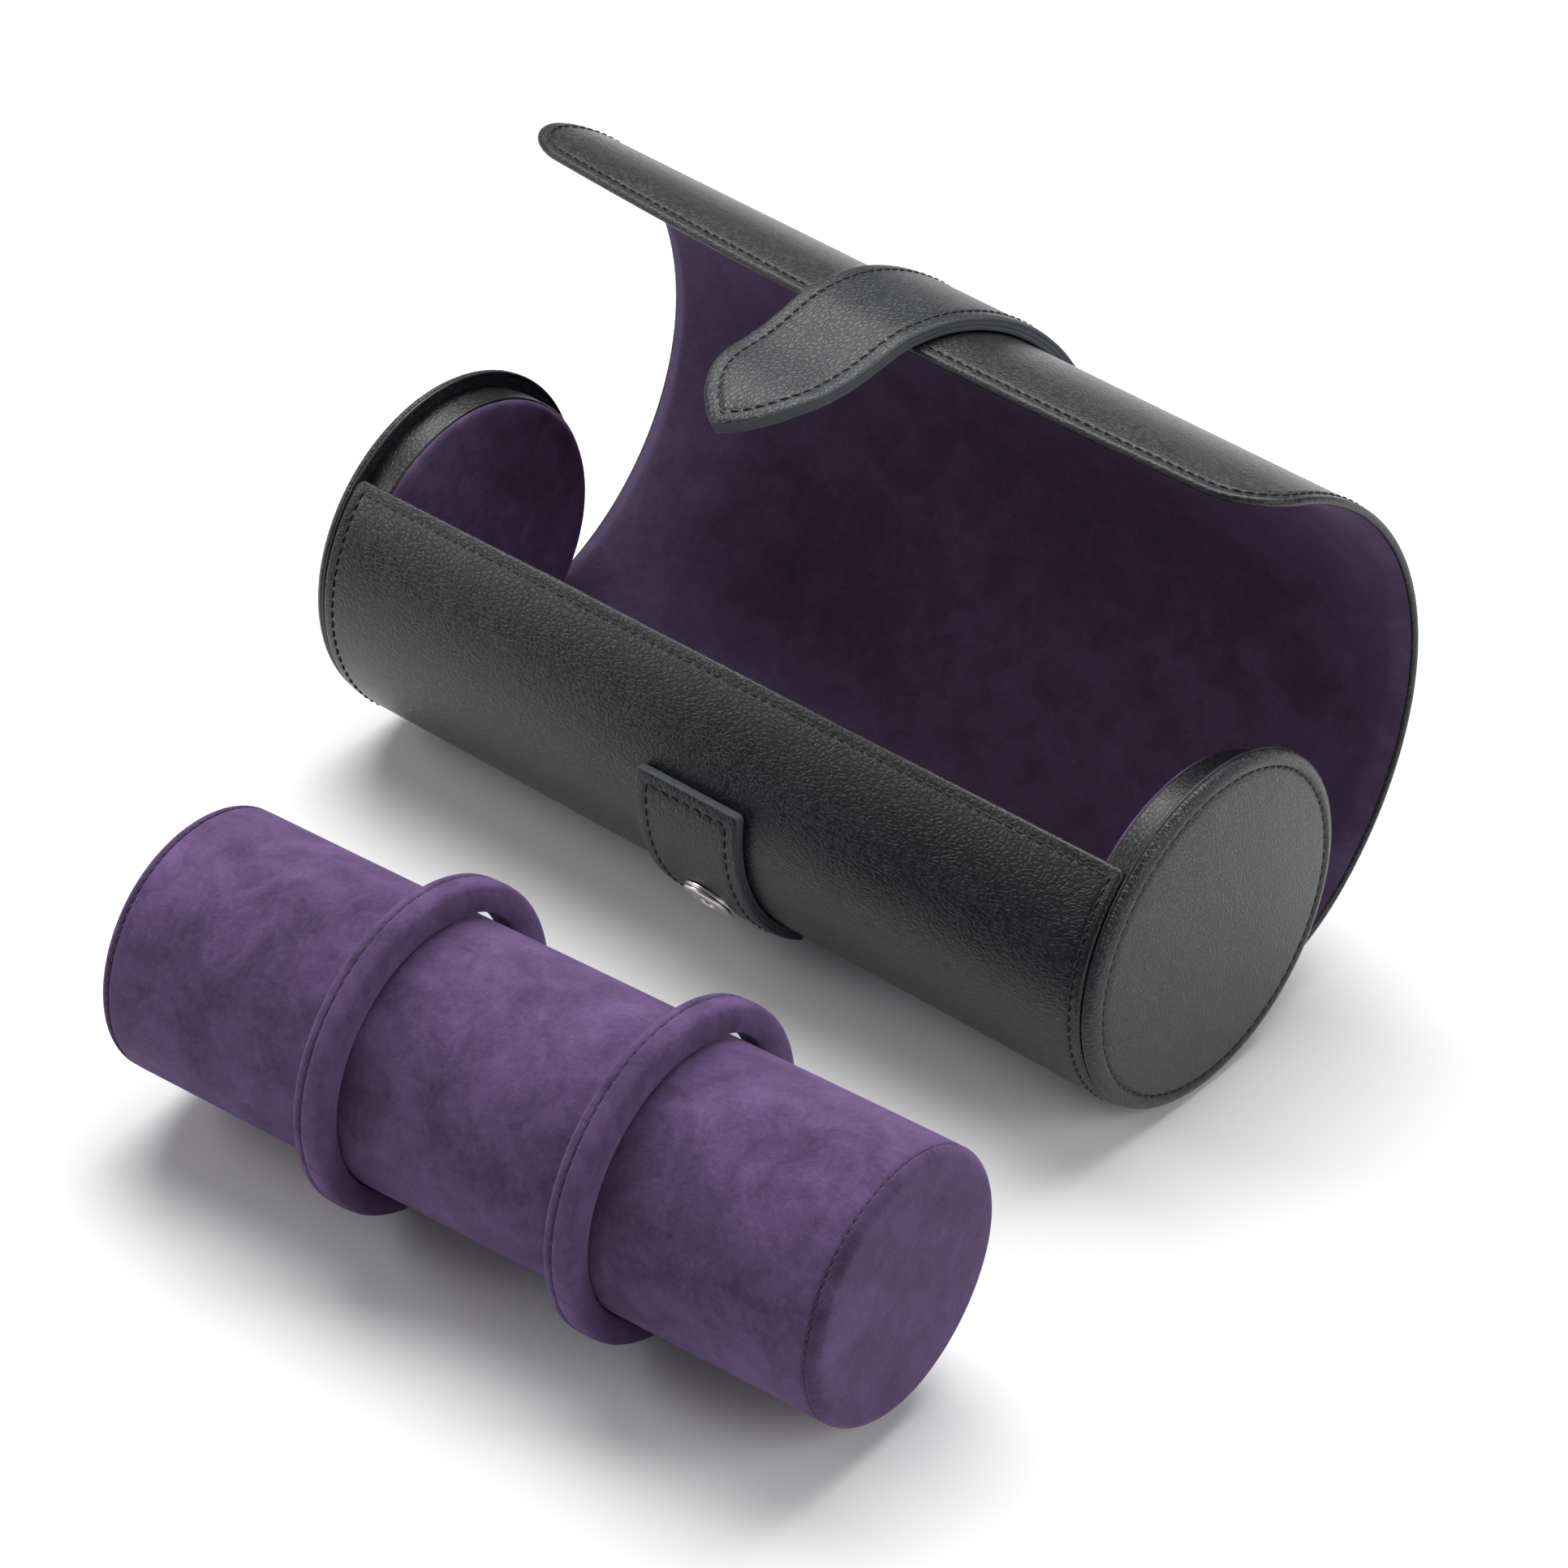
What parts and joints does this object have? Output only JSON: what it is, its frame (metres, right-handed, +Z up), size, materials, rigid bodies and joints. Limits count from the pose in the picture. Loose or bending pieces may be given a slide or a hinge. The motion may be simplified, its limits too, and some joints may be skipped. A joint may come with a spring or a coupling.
{
  "type": "watch roll",
  "caption": "Round leather watch roll with a hinged flap, snap strap and padded end discs, open, with its suede watch cushion and divider rings lying in front.",
  "frame": {"origin": "centre of the flat resting strip under the case, on the floor and midway between its ends", "axes": "+X along the case to its right end as seen from the front, +Y to the back where the flap is hinged, +Z up"},
  "size_m": [0.2506, 0.2501, 0.1412],
  "materials": {
    "black_leather": "pebbled, soft sheen",
    "cut_leather": "cut edge, matte",
    "dark_suede": "napped, matte",
    "violet_suede": "napped, matte",
    "greyboard": "matte",
    "foam": "matte",
    "card_tube": "matte",
    "nickel": "satin"
  },
  "bodies": {
    "case": {"wrap_leather": "black_leather", "wrap_board": "greyboard", "wrap_lining": "dark_suede", "right_cap_face": "black_leather", "right_cap_foam": "foam", "right_cap_plate": "greyboard", "right_cap_welt": "black_leather", "right_cap_core": "greyboard", "right_cap_band": "black_leather", "right_cap_pad": "dark_suede", "left_cap_face": "black_leather", "left_cap_foam": "foam", "left_cap_plate": "greyboard", "left_cap_welt": "black_leather", "left_cap_core": "greyboard", "left_cap_band": "black_leather", "left_cap_pad": "dark_suede", "tab_leather": "black_leather", "tab_filler": "cut_leather", "snap_socket": "nickel", "snap_washer": "nickel"},
    "flap_panel_1": {"flap_leather_1": "black_leather", "flap_board_1": "greyboard", "flap_lining_1": "dark_suede"},
    "flap_panel_2": {"flap_leather_2": "black_leather", "flap_board_2": "greyboard", "flap_lining_2": "dark_suede"},
    "flap_panel_3": {"flap_leather_3": "black_leather", "flap_board_3": "greyboard", "flap_lining_3": "dark_suede", "strap_leather_3": "black_leather", "strap_filler_3": "cut_leather"},
    "flap_panel_4": {"flap_leather_4": "black_leather", "flap_board_4": "greyboard", "flap_lining_4": "dark_suede", "strap_leather_4": "black_leather", "strap_filler_4": "cut_leather"},
    "flap_panel_5": {"flap_leather_5": "black_leather", "flap_board_5": "greyboard", "flap_lining_5": "dark_suede", "strap_leather_5": "black_leather", "strap_filler_5": "cut_leather"},
    "tongue_root": {"tongue_root_leather": "black_leather", "tongue_root_filler": "cut_leather", "tongue_root_lining": "black_leather"},
    "tongue": {"tongue_leather": "black_leather", "tongue_filler": "cut_leather", "tongue_lining": "black_leather", "snap_stud": "nickel"},
    "cushion": {"cushion_cover": "violet_suede", "cushion_foam": "foam", "cushion_tube": "card_tube", "cushion_right_board": "greyboard", "cushion_left_board": "greyboard", "cushion_right_end": "violet_suede", "cushion_left_end": "violet_suede"},
    "ring_left": {"ring_left_cover": "violet_suede", "ring_left_core": "foam"},
    "ring_right": {"ring_right_cover": "violet_suede", "ring_right_core": "foam"}
  },
  "joints": [
    {"name": "flap_hinge", "type": "hinge", "parent": "case", "child": "flap_panel_1", "pos_m": [0, 0.02864, 0.01098], "axis": [1, 0, 0], "range_deg": [0, 35.5]},
    {"name": "flap_bend_1", "type": "hinge", "parent": "flap_panel_1", "child": "flap_panel_2", "pos_m": [0, 0.0585, 0.0294], "axis": [0.9976, 0.0408, 0.0566], "range_deg": [0, 13.61]},
    {"name": "flap_bend_2", "type": "hinge", "parent": "flap_panel_2", "child": "flap_panel_3", "pos_m": [-0.00016, 0.07433, 0.0607], "axis": [0.9967, -0.0069, 0.0807], "range_deg": [0, 13.61]},
    {"name": "flap_bend_3", "type": "hinge", "parent": "flap_panel_3", "child": "flap_panel_4", "pos_m": [-0.00074, 0.07148, 0.09566], "axis": [0.9953, -0.0602, 0.0763], "range_deg": [0, 13.61]},
    {"name": "flap_bend_4", "type": "hinge", "parent": "flap_panel_4", "child": "flap_panel_5", "pos_m": [-0.00189, 0.05079, 0.12396], "axis": [0.9936, -0.1033, 0.0447], "range_deg": [0, 13.61]},
    {"name": "tongue_flex", "type": "hinge", "parent": "flap_panel_5", "child": "tongue_root", "pos_m": [0.0002, 0.02334, 0.14079], "axis": [0.9985, -0.054, -0.0044], "range_deg": [-30, 1]},
    {"name": "tongue_bend", "type": "hinge", "parent": "tongue_root", "child": "tongue", "pos_m": [-0.00108, -0.00025, 0.13803], "axis": [0.9985, -0.054, -0.0044], "range_deg": [0, 25.5]},
    {"name": "cushion_lift", "type": "slide", "parent": "case", "child": "cushion", "axis": [0, 0, 1], "range_m": [0, 0.12]},
    {"name": "ring_left_slide", "type": "slide", "parent": "cushion", "child": "ring_left", "axis": [0.9971, 0.0767, 0], "range_m": [-0.057, 0.028]},
    {"name": "ring_right_slide", "type": "slide", "parent": "cushion", "child": "ring_right", "axis": [0.9971, 0.0767, 0], "range_m": [-0.028, 0.052]}
  ],
  "couplings": [
    {"joint": "flap_bend_1", "follows": "flap_hinge", "ratio": 0.3831},
    {"joint": "flap_bend_2", "follows": "flap_hinge", "ratio": 0.3831},
    {"joint": "flap_bend_3", "follows": "flap_hinge", "ratio": 0.3831},
    {"joint": "flap_bend_4", "follows": "flap_hinge", "ratio": 0.3831}
  ]
}
